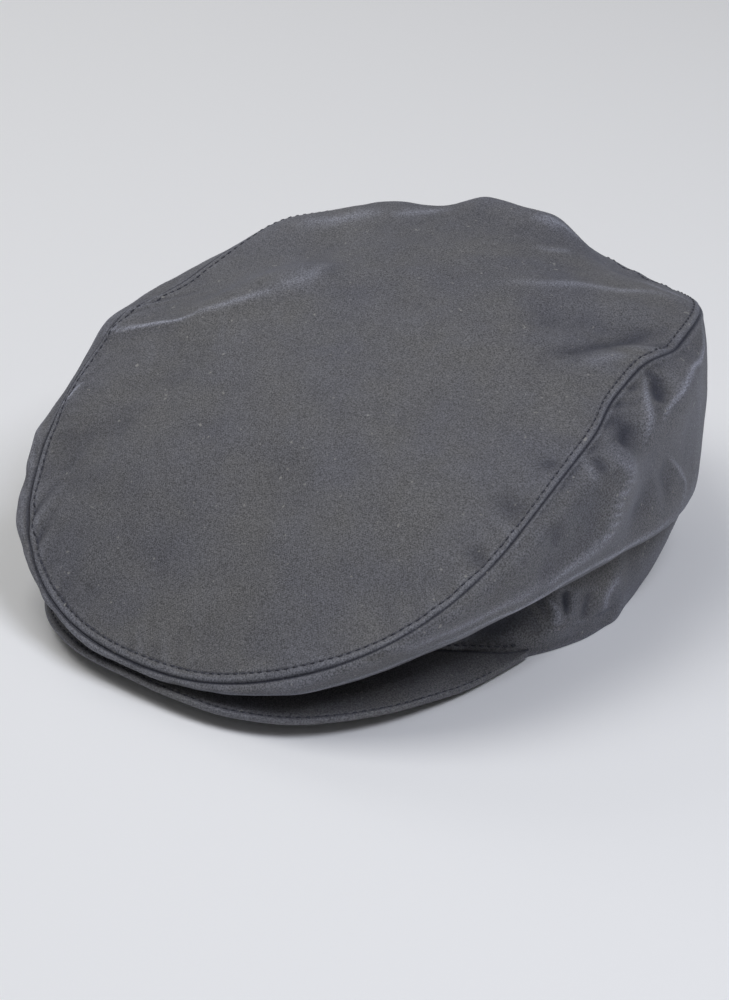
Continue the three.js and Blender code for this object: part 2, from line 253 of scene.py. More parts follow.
# Gathers along the seam: fewest to most in a turn, whole as far as flat, fading over fade, and
# leaning by slant
TOP_GATHERS = dict(height=0.42, fewest=34, most=78, flat=3, fade=11, slant=0.004, seed=21)
SIDE_GATHERS = dict(height=0.38, fewest=30, most=70, flat=2, fade=9, slant=0, seed=41)

# The sewn edge of the top panel: the cloth dips into the seam, then lies over the folded
# seam allowance, up to the row of stitches. The side panels only swell a little under it.
# Pairs are distances from an edge, between which the cloth changes from one state to the other.
LIP_WIDTH = 3.5
LIP_HEIGHT = 0.16
LIP_RISE = (0.3, 1.4)
LIP_FALL = (LIP_WIDTH - 0.7, LIP_WIDTH + 0.5)
SIDE_LIP = dict(height=0.25, middle=2.4, width=1.5)
SEAM_DIP = 0.9
SEAM_DIP_WIDTH = 0.8
SEAM_DARK_WIDTH = 0.9
SEAM_LENGTH = 760
MITRE_WIDTH = 2
LOOSE_FROM_SEAM = (-1.2, 5)
LOOSE_FROM_RIM = (0, 5)
UPRIGHT_TO_RIM = (0, 4)
# The seam at the centre back is a groove, about radius from the middle of the cap.
BACK_SEAM = dict(radius=100, dip=0.9, width=1.2)

# Threads
THREAD = 0.75
STITCH_PITCH = 3.4
STITCH_LENGTH = 2.3
STITCH = dict(rise=0.12, dive=0.3, thinner=0.55, sections=7, sides=8)
# The rows of stitches. Two of them draw the cloth in, by sink, over a width. Two end at turn,
# in radians from the front.
CROWN_ROW = dict(inset=LIP_WIDTH + 0.25, sink=0.12, width=0.55, points=1600)
PEAK_ROW = dict(inset=2.4, sink=0.32, width=0.5, turn=1.48, points=900)
JOIN_ROW = dict(height=2.4, clear=0.1, turn=1.15, points=700)

# The peak's upper face is a little domed where it is wide, and uneven
PEAK_FACE = dict(dome=0.6, dome_from=40, fine_from=10, uneven=0.12, wavelength=26)

# Bend of the cloth, in 1/mm, at which the painted highlight of a ridge or the painted shade of a hollow is
# full
FULL_BEND = 0.1
PEAK_RIDGE_BEND = 0.5
PEAK_HOLLOW_BEND = 0.25
# Cloth is longer than its plan from front to back, where it slopes.
TOP_SLOPE = 1.12
PEAK_SLOPE = 1.05

# How finely each cloth is divided
CORE = 176
CREASED = dict(middle=0.35, half=0.28, finer=1)
BAND = 16
BAND_INSETS = [14.2, 12.4, 10.6, 9, 7.6, 6.4, 5.5, 4.9, 4.4, 4, 3.6, 3.1, 2.4, 1.8, 1.3, 0.9, 0.5, 0.2, 0]
SIDE_COLUMNS = dict(left=380, right=300)
SEAM_ROWS = [0, 0.25, 0.6, 1, 1.5, 2.2, 3.1, 4.2, 5.6]
RIM_ROWS = [3.4, 2.2, 1.4, 0.8, 0.4, 0.15, 0]
SIDE_ROWS = dict(left=104, right=84)
PEAK_COLUMNS = 300
PEAK_ROWS = dict(upper=28, under=15)
PEAK_BAND = 7
PEAK_INSETS = [6, 5, 4.2, 3.6, 3.1, 2.8, 2.4, 2, 1.6]


def unit(vectors):
    return vectors / np.linalg.norm(vectors, axis=-1, keepdims=True)


def smooth_step(low, high, value):
    share = np.clip((value - low) / (high - low), 0, 1)
    return share * share * (3 - 2 * share)


def oval(ring, phi):
    """Plan of a ring: phi is 0 at the front, a quarter turn at the left, half a turn at the back."""
    sine, cosine = np.sin(phi), np.cos(phi)
    ahead = cosine > 0
    power = 2 / np.where(ahead, ring["front_power"], ring["back_power"])
    end = np.where(ahead, ring["front"], ring.get("back", 0))
    x = ring["half"] * np.sign(sine) * np.abs(sine) ** power
    y = ring["wide"] + (end - ring["wide"]) * np.abs(cosine) ** power
    return x, y


def ring_height(ring, y):
    """The parabola through the ring's front end, its widest place and its back end"""
    front, wide, back = ring["front"], ring["wide"], ring["back"]
    at_front = (y - wide) * (y - back) / ((front - wide) * (front - back))
    at_wide = (y - front) * (y - back) / ((wide - front) * (wide - back))
    at_back = (y - front) * (y - wide) / ((back - front) * (back - wide))
    return ring["z_front"] * at_front + ring["z_wide"] * at_wide + ring["z_back"] * at_back


def ring_plan(ring, phi):
    """Plan of a ring: its oval, drawn out where it is"""
    x, y = oval(ring, phi)
    for row in DRAWN_OUT:
        if row["ring"] == ring["name"]:
            around = np.radians(row["around"])
            turn = np.degrees(np.mod(phi - around + np.pi, 2 * np.pi) - np.pi)
            out = row["out"] * np.exp(-(turn / row["spread"]) ** 2)
            x, y = x + out * np.sin(around), y - out * np.cos(around)
    return x, y


def ring_points(ring, phi):
    x, y = ring_plan(ring, phi)
    return np.stack([x, y, ring_height(ring, y)], -1)


def curve_through(knots, share):
    """Points on centripetal curves through knots (knot, curve, xyz), share from 0 to 1 along each"""
    knots = np.concatenate([[2 * knots[0] - knots[1]], knots, [2 * knots[-1] - knots[-2]]])
    place = share * (len(knots) - 3)
    span = np.minimum(place.astype(int), len(knots) - 4)
    along = (place - span)[:, None]
    which = np.arange(len(share))
    p0, p1, p2, p3 = (knots[span + step, which] for step in range(4))
    d0, d1, d2 = (np.sqrt(np.linalg.norm(b - a, axis=1))[:, None] for a, b in ((p0, p1), (p1, p2), (p2, p3)))
    start = ((p1 - p0) / d0 - (p2 - p0) / (d0 + d1) + (p2 - p1) / d1) * d1
    end = ((p2 - p1) / d1 - (p3 - p1) / (d1 + d2) + (p3 - p2) / d2) * d1
    square, cube = along ** 2, along ** 3
    return (p1 + start * along + (3 * (p2 - p1) - 2 * start - end) * square
            + (2 * (p1 - p2) + start + end) * cube)


def beside_path(points, path, normal=None):
    """Distance of each point from a path, and how far along the path it lies, from 0 to 1.
    Where the cloth's normal is given, height over the cloth counts less than distance along it."""
    path = np.array(path, float)
    steps = np.diff(path, axis=0)
    lengths = np.linalg.norm(steps, axis=1)
    nearest = np.full(len(points), np.inf)
    walked = np.zeros(len(points))
    before = 0.0
    for start, step, length in zip(path, steps, lengths):
        along = np.clip((points - start) @ step / length ** 2, 0, 1)
        offset = points - start - along[:, None] * step
        if normal is not None:
            offset -= (1 - HEIGHT_COUNTS) * (offset * normal).sum(1)[:, None] * normal
        gap = np.linalg.norm(offset, axis=1)
        walked = np.where(gap < nearest, before + along * length, walked)
        nearest = np.minimum(gap, nearest)
        before += length
    return nearest, walked / before


def settle(points):
    """Leans the cloth over to the left, and pushes it by each main fold that it lies near."""
    points = points.copy()
    height = np.clip(points[:, 2] / LEAN["full_height"], 0, 1)
    points[:, 2] -= LEAN["drop"] * height * points[:, 0] / LEAN["half_width"]
    start = points.copy()
    for fold in FOLDS:
        gap, _ = beside_path(start, fold["line"])
        points += np.exp(-(gap / fold["reach"]) ** 2)[:, None] * np.array(fold["push"])
    return points


def top_face(phi, t):
    """Outer face of the top panel, t from 0 at the crown to 1 at the seam"""
    x, y = ring_plan(SEAM, phi)
    x = CROWN["x"] + (x - CROWN["x"]) * t
    y = CROWN["y"] + (y - CROWN["y"]) * t
    z = ring_height(SEAM, y) + CROWN["height"] * (1 - t ** CROWN["power"])
    return settle(np.stack([x, y, z], -1))


def side_face(phi, v):
    """Outer face of the side panels, v from 0 at the seam to 1 at the rim"""
    knots = np.stack([ring_points(ring, phi) for ring in RINGS])
    return settle(curve_through(knots, v))


def outward(face, phi, v):
    step = 1e-3
    low, high = np.maximum(v - step, 0), np.minimum(v + step, 1)
    along = face(phi + step, v) - face(phi - step, v)
    down = face(phi, high) - face(phi, low)
    return unit(np.cross(down, along))


def mitre(phi):
    """Direction in which both panels' walls end at the seam, halfway between their faces"""
    ones = np.ones_like(phi)
    top = outward(top_face, phi, ones)
    middle = unit(top + outward(side_face, phi, 0 * ones))
    least = 0.7
    return middle / np.maximum((middle * top).sum(1), least)[:, None]


def through_wall(phi, normal, away):
    """Direction through a panel's wall: its normal, turned to the mitre beside the seam"""
    edge = np.exp(-(away / MITRE_WIDTH) ** 2)[:, None]
    return unit(normal * (1 - edge) + mitre(phi) * edge)


def ripple(points, wavelength, seed):
    """Seeded smooth unevenness of about one unit, with a wavelength in mm"""
    draw = np.random.default_rng(seed)
    waves = 40
    direction = unit(draw.normal(size=(waves, 3)))
    number = 2 * np.pi / (wavelength * draw.uniform(0.7, 1.5, waves))
    phase = draw.uniform(0, 2 * np.pi, waves)
    return np.sin(points @ (direction * number[:, None]).T + phase).sum(1) * np.sqrt(2 / waves)


def seam_turn():
    """Angles round the seam, and the share of its length that lies before each"""
    phi = np.linspace(0, 2 * np.pi, 1441)
    steps = np.linalg.norm(np.diff(top_face(phi, np.ones_like(phi)), axis=0), axis=1)
    return phi, np.concatenate([[0], np.cumsum(steps)]) / steps.sum()


TURN_PHI, TURN_SHARE = seam_turn()


def pucker(phi, row):
    """Seeded gathers along the seam, the same after a whole turn, and stronger in some stretches"""
    share = np.interp(np.mod(phi, 2 * np.pi), TURN_PHI, TURN_SHARE)
    draw = np.random.default_rng(row["seed"])
    waves = 14
    total = 0
    for count in draw.integers(row["fewest"], row["most"], waves):
        total = total + np.sin(2 * np.pi * (count * share + draw.uniform()))
    swell = sum(np.sin(2 * np.pi * (n * share + draw.uniform())) for n in (3, 5, 7, 11))
    usual, change, least, most = 0.55, 0.35, 0.1, 1.6
    return total / np.sqrt(waves) * np.clip(usual + change * swell, least, most)


def gathers(row, phi, away):
    """Height of the gathers at a distance from the seam"""
    near = np.exp(-(np.maximum(away - row["flat"], 0) / row["fade"]) ** 1.3)
    return row["height"] * near * pucker(phi + row["slant"] * away, row)


def side_paths():
    """The side folds laid on the side face, as creases"""
    creases = []
    for fold in SIDE_FOLDS:
        share = np.linspace(0, 1, 7)
        phi = np.radians(np.interp(share, [0, 1], fold["around"]))
        path = side_face(phi, np.interp(share, [0, 1], fold["down"]))
        creases.append({**fold, "path": path})
    return creases


def crease_paths():
    """Every crease with its path rounded into a smooth curve"""
    smooth = []
    for crease in CREASES + side_paths():
        knots = np.array(crease["path"], float)[:, None, :]
        share = np.linspace(0, 1, 6 * len(knots))
        path = curve_through(np.repeat(knots, len(share), axis=1), share)
        smooth.append({**crease, "path": path})
    return smooth


CREASE_PATHS = crease_paths()


def creasing(points, normal):
    """How far the creases lift the cloth, and their painted light: the whitening of the waxed cloth with a
    painted highlight over zero, and painted shade under it
    """
    lift = np.zeros(len(points))
    wax = np.zeros(len(points))
    for crease in CREASE_PATHS:
        gap, share = beside_path(points, crease["path"], normal)
        taper = np.sin(np.pi * np.clip(share, 0.02, 0.98)) ** CREASE_TAPER
        lift += crease["lift"] * taper * np.exp(-(gap / crease["width"]) ** crease["sharp"])
        # Over zero, a narrow band of the wax's whitening with a painted highlight; under zero, a wide band
        # of painted shade.
        if crease["wax"] > 0:
            width = max(WHITENED_AND_HIGHLIGHT["share"] * crease["width"], WHITENED_AND_HIGHLIGHT["least"])
            band = np.exp(-(gap / width) ** WHITENED_AND_HIGHLIGHT["power"])
        else:
            band = np.exp(-(gap / (PAINTED_SHADE_SHARE * crease["width"])) ** 2)
        painted_light_and_whitening = crease["wax"] * taper * band
        wax = np.where(np.abs(painted_light_and_whitening) > np.abs(wax), painted_light_and_whitening, wax)
    return lift, wax


def gathered_in_seam(wax, away):
    """The creases' whitening, painted highlight and painted shade, with the dark line where the waxed
    dressing gathers in a seam
    """
    line = np.exp(-(away / SEAM_DARK_WIDTH) ** 2)
    return wax * (1 - line) - line


def unevenness(points, seed):
    """Broad waves over the cloth, whose seeds follow on from the given one"""
    waves = enumerate(UNEVENNESS)
    return sum(row["height"] * ripple(points, row["wavelength"], seed + at) for at, row in waves)


def top_reach(phi):
    """Length of cloth, in mm, that a unit of t is worth beside the seam"""
    step = 0.02
    ones = np.ones_like(phi)
    return np.linalg.norm(top_face(phi, ones) - top_face(phi, ones - step), axis=1) / step


def side_reach(phi, v):
    """Length of cloth, in mm, that a unit of v is worth at v"""
    step = 0.01
    low, high = np.clip(v - step, 0, 1), np.clip(v + step, 0, 1)
    return np.linalg.norm(side_face(phi, high) - side_face(phi, low), axis=1) / (high - low)


def top_cloth_at(phi, t):
    """Cloth of the top panel: its outer and inner faces, its normals, and its mark of whitening, painted
    highlight and painted shade
    """
    base = top_face(phi, t)
    beside_crown = 0.02
    normal = outward(top_face, phi, np.maximum(t, beside_crown))
    inset = (1 - t) * top_reach(phi)
    lift, wax = creasing(base, normal)
    soft = lift + unevenness(base, SEEDS["top"]) + gathers(TOP_GATHERS, phi, inset)
    soft *= smooth_step(*LOOSE_FROM_SEAM, inset)
    sewn = LIP_HEIGHT * smooth_step(*LIP_RISE, inset) * (1 - smooth_step(*LIP_FALL, inset))
    sewn -= SEAM_DIP * np.exp(-(inset / SEAM_DIP_WIDTH) ** 2)
    sewn -= CROWN_ROW["sink"] * np.exp(-((inset - CROWN_ROW["inset"]) / CROWN_ROW["width"]) ** 2)
    middle = base + soft[:, None] * normal
    inner = middle - CLOTH * through_wall(phi, normal, inset)
    return middle + sewn[:, None] * normal, inner, normal, gathered_in_seam(wax, inset)


def side_cloth_at(phi, v, below_seam, above_rim):
    """Cloth of a side panel: its outer and inner faces, its normals, and its mark of whitening, painted
    highlight and painted shade
    """
    base = side_face(phi, v)
    normal = outward(side_face, phi, v)
    lift, wax = creasing(base, normal)
    loose = smooth_step(*LOOSE_FROM_RIM, above_rim)
    soft = (lift + unevenness(base, SEEDS["side"])) * loose + gathers(SIDE_GATHERS, phi, below_seam)
    soft *= smooth_step(*LOOSE_FROM_SEAM, below_seam)
    sewn = SIDE_LIP["height"] * np.exp(-((below_seam - SIDE_LIP["middle"]) / SIDE_LIP["width"]) ** 2)
    sewn -= SEAM_DIP / 2 * np.exp(-(below_seam / SEAM_DIP_WIDTH) ** 2)
    round_off = CLOTH / 2
    turned = round_off - np.sqrt(np.maximum(round_off ** 2 - np.maximum(round_off - above_rim, 0) ** 2, 0))
    level = unit(normal * [1, 1, 0])
    upright = (1 - smooth_step(*UPRIGHT_TO_RIM, above_rim))[:, None]
    inward = unit(through_wall(phi, normal, below_seam) * (1 - upright) + level * upright)
    middle = base + soft[:, None] * inward
    outer = middle + sewn[:, None] * normal - turned[:, None] * inward
    inner = middle - (CLOTH - turned)[:, None] * inward
    return outer, inner, normal, gathered_in_seam(wax, below_seam)


def bend(points, quads):
    """Signed bend of a surface at each point, in 1/mm: more than zero on a ridge"""
    sides = np.concatenate([quads[:, [a, (a + 1) % 4]] for a in range(4)])
    edges = np.unique(np.sort(sides, axis=1), axis=0)
    edges = np.concatenate([edges, edges[:, ::-1]])
    normal = np.zeros_like(points)
    diagonal = np.cross(points[quads[:, 2]] - points[quads[:, 0]], points[quads[:, 3]] - points[quads[:, 1]])
    for corner in range(4):
        np.add.at(normal, quads[:, corner], diagonal)
    normal = unit(normal)
    step = points[edges[:, 1]] - points[edges[:, 0]]
    length = np.linalg.norm(step, axis=1)
    pull = np.zeros(len(points))
    span = np.zeros(len(points))
    np.add.at(pull, edges[:, 0], (step * normal[edges[:, 0]]).sum(1) / length)
    np.add.at(span, edges[:, 0], length)
    sharpest, smoothings = 0.4, 3
    value = np.clip(-2 * pull / span, -sharpest, sharpest)
    for _ in range(smoothings):
        total = np.zeros(len(points))
        count = np.zeros(len(points))
        np.add.at(total, edges[:, 0], value[edges[:, 1]])
        np.add.at(count, edges[:, 0], 1)
        value = 0.5 * value + 0.5 * total / count
    return value


def place():
    """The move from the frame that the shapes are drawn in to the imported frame, in mm"""
    low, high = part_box("peak")
    return np.array([(low.x + high.x) / 2 / MM, low.y / MM - PEAK["front"], 0])


PLACE = place()


def put(name, data):
    """An object of the scene that holds a mesh, a camera or a light"""
    thing = bpy.data.objects.new(name, data)
    bpy.context.scene.collection.objects.link(thing)
    return thing


def make_mesh(name, points, faces, materials, face_material=None, cloth=None, marks=None):
    """An object from points in mm. cloth is each point's place on the flat cloth, in mm."""
    mesh = bpy.data.meshes.new(name)
    mesh.from_pydata(((points + PLACE) * MM).tolist(), [], [list(face) for face in faces])
    for material in materials:
        mesh.materials.append(material)
    if face_material is not None:
        mesh.polygons.foreach_set("material_index", np.asarray(face_material, np.int32))
    mesh.polygons.foreach_set("use_smooth", np.ones(len(mesh.polygons), bool))
    if cloth is not None:
        corners = np.zeros(len(mesh.loops), np.int32)
        mesh.loops.foreach_get("vertex_index", corners)
        layer = mesh.uv_layers.new(name="cloth")
        layer.uv.foreach_set("vector", (cloth[corners] * MM).astype(np.float32).ravel())
    for label, values in (marks or {}).items():
        attribute = mesh.attributes.new(label, "FLOAT", "POINT")
        attribute.data.foreach_set("value", values.astype(np.float32))
    mesh.update()
    return put(name, mesh)


def make_cloth(name, outer, inner, quads, loop, cloth, wax, materials):
    """A closed cloth wall between two faces with the same quads. loop is its edge, in order."""
    count = len(outer)
    start = 2 * count + np.arange(len(loop))
    following = np.roll(start, -1)
    edge = np.stack([start, start + len(loop), following + len(loop), following], 1)
    faces = np.concatenate([quads, quads[:, ::-1] + count, edge])
    inside = np.concatenate([np.zeros(len(quads)), np.ones(len(quads)), np.zeros(len(edge))])
    points = np.concatenate([outer, inner, outer[loop], inner[loop]])
    flat = np.concatenate([cloth, cloth, cloth[loop], cloth[loop]])
    curved = bend(outer, quads)
    rest = np.zeros(len(points) - count)
    # ridge and hollow carry painted highlight on ridges and painted shade in hollows; the wax mark carries
    # the whitening of the wax along creases with painted highlight and painted shade.
    marks = {
        "wax": np.concatenate([wax, rest]),
        "ridge": np.concatenate([np.clip(curved / FULL_BEND, 0, 1), rest]),
        "hollow": np.concatenate([np.clip(-curved / FULL_BEND, 0, 1), rest]),
    }
    return make_mesh(name, points, faces, materials, inside, flat, marks)


def grid_quads(numbers):
    """Quads of a grid of point numbers, rows then columns"""
    corners = [numbers[:-1, :-1], numbers[1:, :-1], numbers[1:, 1:], numbers[:-1, 1:]]
    return np.stack(corners, -1).reshape(-1, 4)


def grid_edge(numbers):
    """The point numbers round a grid, in order"""
    return np.concatenate([numbers[-1, :-1], numbers[:0:-1, -1], numbers[0, :0:-1], numbers[:-1, 0]])


def creased_steps():
    """Steps from -1 to 1 that are shorter in the part of the grid that the crown crease crosses"""
    even = np.linspace(-1, 1, 2001)
    density = 1 + CREASED["finer"] * np.exp(-((even - CREASED["middle"]) / CREASED["half"]) ** 4)
    walked = np.concatenate([[0], np.cumsum((density[1:] + density[:-1]) / 2)])
    return np.interp(np.linspace(0, walked[-1], CORE + 1), walked, even)


def top_cloth(materials):
    """A square grid drawn out to the oval, and a band of finer rows along the seam"""
    a, b = np.meshgrid(creased_steps(), np.linspace(-1, 1, CORE + 1), indexing="ij")
    ahead = np.abs(a) >= np.abs(b)
    safe_a, safe_b = np.where(a == 0, 1, a), np.where(b == 0, 1, b)
    phi = np.where(ahead, np.pi / 4 * b / safe_a + np.pi * (a < 0),
                   np.pi / 2 - np.pi / 4 * a / safe_b + np.pi * (b < 0))
    share = np.maximum(np.abs(a), np.abs(b)).ravel()
    phi = phi.ravel()
    t = share * (1 - BAND / top_reach(phi))
    numbers = np.arange((CORE + 1) ** 2).reshape(CORE + 1, CORE + 1)
    loop = grid_edge(numbers)
    band_phi = phi[loop]
    reach = top_reach(band_phi)
    rows = [loop]
    for row, inset in enumerate(BAND_INSETS):
        phi = np.concatenate([phi, band_phi])
        t = np.concatenate([t, 1 - np.maximum(inset, SEAM_GAP / 2) / reach])
        rows.append(numbers.size + row * len(loop) + np.arange(len(loop)))
    band = np.stack(rows)
    band = np.concatenate([band, band[:, :1]], axis=1)
    quads = np.concatenate([grid_quads(numbers), grid_quads(band)])
    outer, inner, _, wax = top_cloth_at(phi, t)
    cloth = outer[:, :2] * [1, TOP_SLOPE]
    return make_cloth("top_cloth", outer, inner, quads, rows[-1], cloth, wax, materials)


def side_rows(phi, count):
    """v, and the distances below the seam and above the rim, of every row at each phi"""
    beside_edge = 0.01
    start = side_reach(phi, np.full_like(phi, beside_edge))
    end = side_reach(phi, np.full_like(phi, 1 - beside_edge))
    heights = np.linspace(0.05, 0.95, 10)
    length = sum(side_reach(phi, np.full_like(phi, v)) for v in heights) / len(heights)
    first = SEAM_ROWS[-1] / start
    last = 1 - RIM_ROWS[0] / end
    rows = [np.maximum(gap, SEAM_GAP / 2) / start for gap in SEAM_ROWS[:-1]]
    rows += [first + (last - first) * row / count for row in range(count)]
    rows += [1 - gap / end for gap in RIM_ROWS]
    v = np.stack(rows)
    below = np.where(v * start < SEAM_ROWS[-1] + 1, v * start, np.minimum(v * start, v * length))
    return v, below, (1 - v) * end


def side_cloth(name, side, materials):
    """side is 1 for the wearer's left and -1 for the right."""
    which = "left" if side > 0 else "right"
    turn = np.linspace(0, np.pi, SIDE_COLUMNS[which] + 1)
    columns = turn if side > 0 else turn - np.pi
    v, below, above = side_rows(columns, SIDE_ROWS[which])
    rows = len(v)
    phi = np.tile(columns, rows)
    outer, inner, normal, wax = side_cloth_at(phi, v.ravel(), below.ravel(), above.ravel())
    numbers = np.arange(phi.size).reshape(rows, -1)
    from_back = (np.pi - np.abs(phi)) * BACK_SEAM["radius"]
    dip = BACK_SEAM["dip"] * np.exp(-(from_back / BACK_SEAM["width"]) ** 2)
    outer = outer - dip[:, None] * normal
    around = np.interp(np.mod(phi, 2 * np.pi), TURN_PHI, TURN_SHARE) * SEAM_LENGTH
    cloth = np.stack([around, below.ravel()], 1)
    return make_cloth(name, outer, inner, grid_quads(numbers), grid_edge(numbers), cloth, wax, materials)


def beside_wall(phi, z, gap):
    """The place just outside the side wall at height z, below the belly"""
    low = np.full_like(phi, 1 - 1 / (len(RINGS) - 1))
    high = np.ones_like(phi)
    halvings = 30
    for _ in range(halvings):
        middle = (low + high) / 2
        above = side_face(phi, middle)[:, 2] > z
        low, high = np.where(above, middle, low), np.where(above, high, middle)
    normal = unit(outward(side_face, phi, low) * [1, 1, 0])
    points = side_face(phi, low) + gap * normal
    points[:, 2] = z
    return points, normal


def peak_height(where, phi):
    """Height of the peak's upper face at its join or its edge: it climbs from the corners"""
    front = 1 - np.abs(np.sin(phi)) ** PEAK["rise"]
    return PEAK[where + "_corner"] + (PEAK[where + "_front"] - PEAK[where + "_corner"]) * front


def peak_section(phi):
    """Upper and lower points of the peak's join, and its edge points, at each phi"""
    join_height = peak_height("join", phi)
    edge_height = peak_height("edge", phi)
    upper, _ = beside_wall(phi * PEAK["spread"], join_height, PEAK_GAP)
    lower, _ = beside_wall(phi * PEAK["spread"], join_height - PEAK_JOIN_THICKNESS, PEAK_GAP)
    x, y = oval(PEAK, phi)
    edge = np.stack([x, y, edge_height], -1)
    return upper, lower, edge


def peak_upper_at(upper, edge, inset, width):
    """Upper face of the peak at a distance from its edge: slightly domed, with a sunk stitch row"""
    share = np.clip(1 - inset / np.maximum(width, 1e-6), 0, 1)
    points = upper + (edge - upper) * share[:, None]
    dome = PEAK_FACE["dome"] * np.sin(np.pi * share) * np.clip(width / PEAK_FACE["dome_from"], 0, 1)
    sink = PEAK_ROW["sink"] * np.exp(-((inset - PEAK_ROW["inset"]) / PEAK_ROW["width"]) ** 2)
    fine = np.clip(width / PEAK_FACE["fine_from"], 0, 1)
    uneven = PEAK_FACE["uneven"] * fine * ripple(points, PEAK_FACE["wavelength"], SEEDS["peak"])
    points[:, 2] += dome - sink * fine + uneven
    return points


def peak_cover(materials):
    """The stiffened peak: an upper and a lower cloth over a round edge"""
    phi = np.linspace(-np.pi / 2, np.pi / 2, PEAK_COLUMNS + 1)
    upper, lower, edge = peak_section(phi)
    width = np.linalg.norm((edge - upper)[:, :2], axis=1)
    # At its corners the peak is too narrow for the whole round edge.
    radius = np.minimum(PEAK_EDGE_THICKNESS / 2, 0.4 * width)
    out = unit((edge - upper) * [1, 1, 0])
    inward_share = np.linspace(1, 0, PEAK_ROWS["upper"])[:-1]
    insets = [share * (width - PEAK_BAND) + PEAK_BAND for share in inward_share] + PEAK_INSETS
    rows = []
    away = []
    for inset in insets:
        inset = np.maximum(np.minimum(inset, width), radius)
        rows.append(peak_upper_at(upper, edge, inset, width))
        away.append(width - inset)
    crest = rows[-1][:, 2]
    middle = edge - out * radius[:, None]
    for angle in np.radians(np.arange(75, -91, -15)):
        point = middle + out * (radius * np.cos(angle))[:, None]
        point[:, 2] = crest - radius + radius * np.sin(angle)
        rows.append(point)
    under = rows[-1]
    for share in np.linspace(0, 1, PEAK_ROWS["under"])[1:]:
        rows.append(under + (lower - under) * share)
    grid = np.stack(rows)
    count, columns = grid.shape[:2]
    numbers = np.arange(count * columns).reshape(count, columns)
    wrapped = np.concatenate([numbers, numbers[:1]])
    faces = grid_quads(wrapped).tolist()
    faces.append(list(numbers[::-1, 0]))
    faces.append(list(numbers[:, -1]))
    points = grid.reshape(-1, 3)
    quads = grid_quads(numbers)
    curved = bend(points, quads)
    cloth = points[:, :2] * [1, PEAK_SLOPE]
    rest = np.zeros(len(points) - np.size(away))
    # ridge and hollow carry painted highlight on the peak's ridges and painted shade in its hollows; the wax
    # mark here is only the dark line along its join.
    marks = {
        "wax": np.concatenate([gathered_in_seam(0, np.concatenate(away)), rest]),
        "ridge": np.clip(curved / PEAK_RIDGE_BEND, 0, 1),
        "hollow": np.clip(-curved / PEAK_HOLLOW_BEND, 0, 1),
    }
    return make_mesh("peak_cover", points, faces, materials, None, cloth, marks)


def sew(name, line, normal, materials, closed):
    """Stitches along a line on the cloth: each is a short thread that dips in at its ends."""
    if closed:
        line = np.concatenate([line, line[:1]])
        normal = np.concatenate([normal, normal[:1]])
    walked = np.concatenate([[0], np.cumsum(np.linalg.norm(np.diff(line, axis=0), axis=1))])
    stitches = int(walked[-1] / STITCH_PITCH)
    pitch = walked[-1] / stitches
    sections, sides = STITCH["sections"], STITCH["sides"]
    share = np.linspace(0, 1, sections)
    at = (np.arange(stitches)[:, None] * pitch + share * STITCH_LENGTH).ravel()

    def along(values):
        return np.stack([np.interp(at, walked, column) for column in values.T], 1)

    up = unit(along(normal))
    ahead = unit(along(np.gradient(line, axis=0)))
    across = unit(np.cross(up, ahead))
    rise = np.tile(STITCH["rise"] * np.sin(np.pi * share) - STITCH["dive"] * (2 * share - 1) ** 4, stitches)
    middle = along(line) + rise[:, None] * up
    thick = np.tile(THREAD / 2 * (1 - STITCH["thinner"] * (2 * share - 1) ** 6), stitches)[:, None]
    rings = [middle + thick * (np.cos(turn) * across + np.sin(turn) * up)
             for turn in np.linspace(0, 2 * np.pi, sides, endpoint=False)]
    points = np.stack(rings, 1).reshape(-1, 3)
    numbers = np.arange(len(points)).reshape(stitches, sections, sides)
    faces = []
    for stitch in numbers:
        wrapped = np.concatenate([stitch, stitch[:, :1]], axis=1)
        faces += grid_quads(wrapped).tolist()
        faces += [list(stitch[0]), list(stitch[-1][::-1])]
    return make_mesh(name, points, faces, materials, None, points[:, :2])


def crown_stitching(materials):
    phi = np.linspace(0, 2 * np.pi, CROWN_ROW["points"], endpoint=False)
    t = 1 - CROWN_ROW["inset"] / top_reach(phi)
    line, _, normal, _ = top_cloth_at(phi, t)
    return sew("crown_stitching", line, normal, materials, True)


def peak_stitching(materials):
    phi = np.linspace(-PEAK_ROW["turn"], PEAK_ROW["turn"], PEAK_ROW["points"])
    upper, _, edge = peak_section(phi)
    width = np.linalg.norm((edge - upper)[:, :2], axis=1)
    line = peak_upper_at(upper, edge, np.full_like(phi, PEAK_ROW["inset"]), width)
    return sew("peak_stitching", line, np.tile([0.0, 0, 1], (len(phi), 1)), materials, False)


def join_stitching(materials):
    """A row on the side panels, just above the peak's join"""
    phi = np.linspace(-JOIN_ROW["turn"], JOIN_ROW["turn"], JOIN_ROW["points"])
    height = peak_height("join", phi / PEAK["spread"]) + JOIN_ROW["height"]
    line, normal = beside_wall(phi, height, JOIN_ROW["clear"])
    return sew("join_stitching", line, normal, materials, False)


def linear(colour):
    """An sRGB hex colour as linear light"""
    values = [int(colour[at:at + 2], 16) / 255 for at in (1, 3, 5)]
    return (*[v / 12.92 if v <= 0.04045 else ((v + 0.055) / 1.055) ** 2.4 for v in values], 1)


def add(tree, kind, inputs=None, **settings):
    """Adds a node with its settings. An input is a socket to link from, or a constant."""
    node = tree.nodes.new(kind)
    for name, value in settings.items():
        setattr(node, name, value)
    for name, value in (inputs or {}).items():
        if isinstance(value, bpy.types.NodeSocket):
            tree.links.new(value, node.inputs[name])
        else:
            node.inputs[name].default_value = value
    return node


def new_material(name):
    material = bpy.data.materials.new(name)
    material.use_nodes = True
    material.node_tree.nodes.clear()
    return material, material.node_tree


